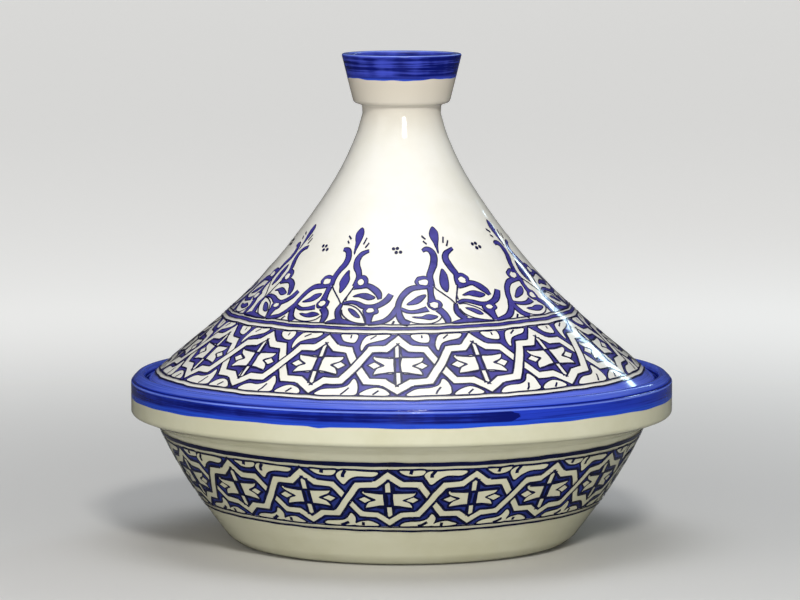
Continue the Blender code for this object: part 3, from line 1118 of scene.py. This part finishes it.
class TAGINE_OT_dish(bpy.types.Operator):
    """Makes the glazed dish with its blue rim"""

    bl_idname = "tagine.dish"
    bl_label = "Dish"

    def execute(self, context):
        pot, paint, colours = settings(context)
        section = finer(dish_section(pot), STATION)
        at = reach(section)
        face = np.nonzero(abs(section[:, 0] - pot.rim_radius) < 0.01 * MM)[0]
        edge = float(np.interp(-paint.rim_edge, -section[face, 1], at[face]))
        ledge = float(at[np.argmax(section[:, 1] > pot.ledge_height - 0.5 * MM)])
        edges = [(ledge, level), (edge, rim_wave)]
        piece = turned("dish_body", section, pot.around, pot.throwing, edges)
        # the painted shade line lies in the rim's groove, with the painted highlight on the corner under it
        # and, fainter, on the rim's top
        rim_blue = band_blue("rim_blue", colours.band, colours, {
            "Edge Height": paint.rim_edge, "Thin Reach": 2.8 * MM, "Full Height": 87.3 * MM,
            "Full Reach": 2.7 * MM, "Full Start": radians(26), "Fading": 1.25,
            "Groove Height": pot.rim_top - 3.4 * MM,
        })
        dressed(piece, "dish_glaze", dish_glaze(colours), rim_blue)
        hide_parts("dish")
        return {"FINISHED"}


class TAGINE_OT_lid(bpy.types.Operator):
    """Makes the glazed lid with its blue knob and its blue edge"""

    bl_idname = "tagine.lid"
    bl_label = "Lid"

    def execute(self, context):
        pot, paint, colours = settings(context)
        section = finer(lid_section(pot), STATION)
        at = reach(section)
        cup = float(at[np.argmax(section[:, 1] > pot.knob_top - 3 * MM)])
        lip_station = int(np.argmax(section[:, 0] > pot.knob_radius - 0.5 * MM))
        edge_station = int(np.argmax(section[:, 0] > pot.lid_radius - 0.01 * MM))
        outside = slice(lip_station, edge_station)
        down, height = at[outside], -section[outside, 1]
        knob = float(np.interp(-paint.knob_edge, height, down))
        middle = float(np.interp(-LID_BAND.middle, height, down))
        foot = middle + (LID_BAND.height / 2 + LID_EDGE_GAP) * MM
        under = float(at[np.argmax((at > foot) & (section[:, 1] < pot.lid_foot + 2 * MM))])

        def tilt(azimuth):
            return -rise(azimuth, paint.slant, paint.lid_dip)

        edges = [(cup, level), (knob, knob_wave), (foot, tilt), (under, level)]
        piece = turned("lid_body", section, pot.around, pot.throwing, edges)
        # the painted highlight lies on the knob's lip; the painted shade line falls above the knob, off the
        # paint
        knob_blue = band_blue("knob_blue", colours.knob, colours, {
            "Edge Height": paint.knob_edge, "Thin Reach": 1.2 * MM, "Full Height": 265.5 * MM,
            "Full Reach": 7 * MM, "Full Start": radians(100), "Fading": 0.5, "Patches": 0.55,
            "Groove Height": pot.knob_top + 0.8 * MM,
        })
        # the whole edge lies above the groove height, so the painted highlight colour lies lightly over all
        # of it
        edge_blue = band_blue("edge_blue", colours.edge, colours, {
            "Edge Height": pot.lid_foot, "Thin Reach": 1 * MM, "Full Height": 0.0, "Full Reach": 1 * MM,
            "Full Start": 0.0, "Fading": 0.0, "Streaks": 0.5, "Groove Height": 0.0,
        })
        dressed(piece, "lid_glaze", lid_glaze(colours), knob_blue, edge_blue)
        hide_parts("lid")
        return {"FINISHED"}


class TAGINE_OT_lid_band(bpy.types.Operator):
    """Paints the band of stars round the lid"""

    bl_idname = "tagine.lid_band"
    bl_label = "Lid stars"

    def execute(self, context):
        pot, paint, colours = settings(context)
        painting, period = star_painting(LID_BAND, paint.lid_line, paint.lid_strap, paint.lid_stars)
        top = LID_BAND.height / 2
        ring(painting.wash, period, top + 4.0, 2.1, DOUBLE_RING_COAT)
        for gap in (5.0, 3.0):
            ring(painting.outline, period, top + gap, 0.45, RING_COAT)
        side = lid_outer(pot)
        zero = side.along(LID_BAND.middle)
        ground = Ground(side, period, zero, LID_BAND.turn, LID_BAND.seed, paint.slant, paint.lid_dip)
        applied("lid_band", painting, ground, paint, "lid_glaze", *lid_paint(colours))
        return {"FINISHED"}


class TAGINE_OT_lid_flowers(bpy.types.Operator):
    """Paints the plant ornaments above the lid's band"""

    bl_idname = "tagine.lid_flowers"
    bl_label = "Lid flowers"

    def execute(self, context):
        pot, paint, colours = settings(context)
        painting = Painting(paint.lid_line / MM)
        period = 2 * pi * FLOWER_RADIUS
        random = np.random.default_rng(FLOWER_SEED)
        for k in range(paint.flowers):
            flower(painting, k * period / paint.flowers, random)
        side = lid_outer(pot)
        zero = side.along(LID_BAND.middle) - (LID_BAND.height / 2 + FLOWER_FOOT) * MM
        ground = Ground(side, period, zero, FLOWER_TURN, FLOWER_HAND_SEED, paint.slant, paint.lid_dip)
        applied("flower", painting, ground, paint, "lid_glaze", *lid_paint(colours))
        return {"FINISHED"}


class TAGINE_OT_dish_band(bpy.types.Operator):
    """Paints the band of stars round the dish"""

    bl_idname = "tagine.dish_band"
    bl_label = "Dish stars"

    def execute(self, context):
        pot, paint, colours = settings(context)
        painting, period = star_painting(DISH_BAND, paint.dish_line, paint.dish_strap, paint.dish_stars)
        side = dish_outer(pot)
        zero = side.along(DISH_BAND.middle)
        ground = Ground(side, period, zero, DISH_BAND.turn, DISH_BAND.seed, 0, paint.dish_dip)
        applied("dish_band", painting, ground, paint, "dish_glaze", *dish_paint(colours))
        return {"FINISHED"}


# ---------------------------------------------------------------- stage


def lamp(name, place, target, size, power, colour, mirrored):
    """A soft rectangular lamp that faces its target. The glaze mirrors it, or not."""
    light = bpy.data.lights.new(name, "AREA")
    light.shape = "RECTANGLE"
    light.size, light.size_y = size
    light.energy = power
    light.color = colour
    holder = bpy.data.objects.new(name, light)
    holder.visible_glossy = mirrored
    holder.location = place
    holder.rotation_euler = (Vector(target) - Vector(place)).to_track_quat("-Z", "Y").to_euler()
    bpy.context.scene.collection.objects.link(holder)


PLAIN = (1, 1, 1)
SKY = (0.92, 0.95, 1.0)
# Each lamp: its name, place and target, its width and height, its power in watts, its colour, and
# whether the glaze mirrors it.
LAMPS = (
    ("above_small", (0.0, -0.10, 1.30), (0, -0.1, 0.1), (0.42, 0.5), 1.1, SKY, True),
    ("above_middle", (0.0, -0.05, 1.32), (0, -0.05, 0.1), (0.8, 0.8), 2.4, SKY, True),
    ("above_wide", (0.0, 0.0, 1.34), (0, 0, 0.1), (1.3, 1.1), 4.0, SKY, True),
    ("key", (0.25, -1.85, 1.30), (0, 0, 0.1), (0.28, 0.28), 26, (1.0, 0.99, 0.96), True),
    ("catch", (0.0, -2.1, 0.30), (0, 0, 0.15), (0.07, 0.07), 2.5, PLAIN, True),
    ("window", (0.75, 1.15, 0.95), (0, 0, 0.12), (0.07, 0.7), 1.8, (0.62, 0.85, 1.0), True),
    ("left", (-1.6, -0.9, 0.8), (0, 0, 0.1), (0.9, 0.9), 4, (1.0, 0.96, 0.9), True),
    ("fill", (0.0, -1.8, 0.32), (0, 0, 0.09), (0.9, 0.12), 9, PLAIN, False),
)
AIR_COLOUR = (0.96, 0.97, 1.0, 1)
AIR_STRENGTH = 0.21
CAMERA_PLACE = (-0.0009, -2.4817, 0.3914)
CAMERA_TILT = radians(84.083)
CAMERA_LENS = 202.5
SENSOR_WIDTH = 36
FARTHEST = 50
# The floor's curve: radius and height of the points it runs through, and how many facets one turn has.
SWEEP = ((0.001, 0), (2.5, 0), (4.6, 0), (5.6, 0.25), (6.2, 0.9), (6.5, 2.0), (6.6, 4.0))
SWEEP_FACETS = 96


def floor_cover(colours):
    """The floor's paint: pale, evened out far behind the pot, and dim where the glaze mirrors it."""
    cover = bpy.data.materials.new("floor_cover")
    cover.use_nodes = True
    tree = cover.node_tree
    shader = tree.nodes["Principled BSDF"]
    path = node(tree, "ShaderNodeLightPath").outputs
    dim = times(tree, path["Is Glossy Ray"], 0.85)
    tree.links.new(mixed(tree, dim, colours.floor, (0.03, 0.03, 0.035)), shader.inputs["Base Color"])
    place = node(tree, "ShaderNodeTexCoord").outputs["Object"]
    away = node(tree, "ShaderNodeVectorMath", {0: place}, operation="LENGTH").outputs["Value"]
    glow = times(tree, spread(tree, away, 0.1, 1.3), path["Is Camera Ray"])
    tree.links.new(mixed(tree, glow, (0, 0, 0), colours.glow), shader.inputs["Emission Color"])
    shader.inputs["Emission Strength"].default_value = 1
    shader.inputs["Roughness"].default_value = 0.6
    return cover


def floor_sweep():
    """The floor, which curves up far behind the pot: each point of the curve has its radius times the
    cosine and the sine of the turn, and its height."""
    curve = through(SWEEP, 10)
    turn = np.linspace(0, 2 * pi, SWEEP_FACETS + 1)[:, None]
    radius, height = curve.T
    grid = np.stack([radius * np.cos(turn), radius * np.sin(turn), height + 0 * turn], -1)
    i, j = np.meshgrid(np.arange(SWEEP_FACETS), np.arange(len(curve) - 1), indexing="ij")
    a, b = (i * len(curve) + j).ravel(), ((i + 1) * len(curve) + j).ravel()
    return made("floor", grid.reshape(-1, 3), np.stack([a, a + 1, b + 1, b], 1).tolist())


class TAGINE_OT_stage(bpy.types.Operator):
    """Sets the floor, the soft lamps and the camera"""

    bl_idname = "tagine.stage"
    bl_label = "Stage"

    def execute(self, context):
        floor = floor_sweep()
        floor.data.materials.append(floor_cover(context.scene.tagine_colours))

        world = bpy.data.worlds.new("studio")
        world.use_nodes = True
        background = world.node_tree.nodes["Background"]
        background.inputs["Color"].default_value = AIR_COLOUR
        background.inputs["Strength"].default_value = AIR_STRENGTH
        context.scene.world = world
        for values in LAMPS:
            lamp(*values)

        camera = bpy.data.cameras.new("camera")
        camera.lens = CAMERA_LENS
        camera.sensor_width = SENSOR_WIDTH
        camera.clip_end = FARTHEST
        holder = bpy.data.objects.new("camera", camera)
        holder.location = CAMERA_PLACE
        holder.rotation_euler = (CAMERA_TILT, 0, 0)
        context.scene.collection.objects.link(holder)
        context.scene.camera = holder
        context.scene.view_settings.view_transform = "Standard"
        return {"FINISHED"}


class TAGINE_PT_panel(bpy.types.Panel):
    """Lists the steps that make the pot"""

    bl_idname = "TAGINE_PT_panel"
    bl_label = "Painted tagine pot"
    bl_space_type = "VIEW_3D"
    bl_region_type = "UI"
    bl_category = "Tagine"

    def draw(self, context):
        layout = self.layout
        for step in STEPS:
            layout.operator(step.bl_idname)
        for values in settings(context):
            box = layout.box()
            for key in values.__annotations__:
                box.prop(values, key)


SETTINGS = {"tagine_pot": TaginePot, "tagine_paint": TaginePaint, "tagine_colours": TagineColours}
STEPS = (
    TAGINE_OT_dish,
    TAGINE_OT_lid,
    TAGINE_OT_lid_band,
    TAGINE_OT_lid_flowers,
    TAGINE_OT_dish_band,
    TAGINE_OT_stage,
)


def register():
    for key, values in SETTINGS.items():
        bpy.utils.register_class(values)
        setattr(bpy.types.Scene, key, bpy.props.PointerProperty(type=values))
    for step in (*STEPS, TAGINE_PT_panel):
        bpy.utils.register_class(step)


def unregister():
    for step in reversed((*STEPS, TAGINE_PT_panel)):
        bpy.utils.unregister_class(step)
    for key, values in SETTINGS.items():
        delattr(bpy.types.Scene, key)
        bpy.utils.unregister_class(values)


def main():
    register()
    bpy.ops.tagine.dish()
    bpy.ops.tagine.lid()
    bpy.ops.tagine.lid_band()
    bpy.ops.tagine.lid_flowers()
    bpy.ops.tagine.dish_band()
    bpy.ops.tagine.stage()


if __name__ == "__main__":
    main()
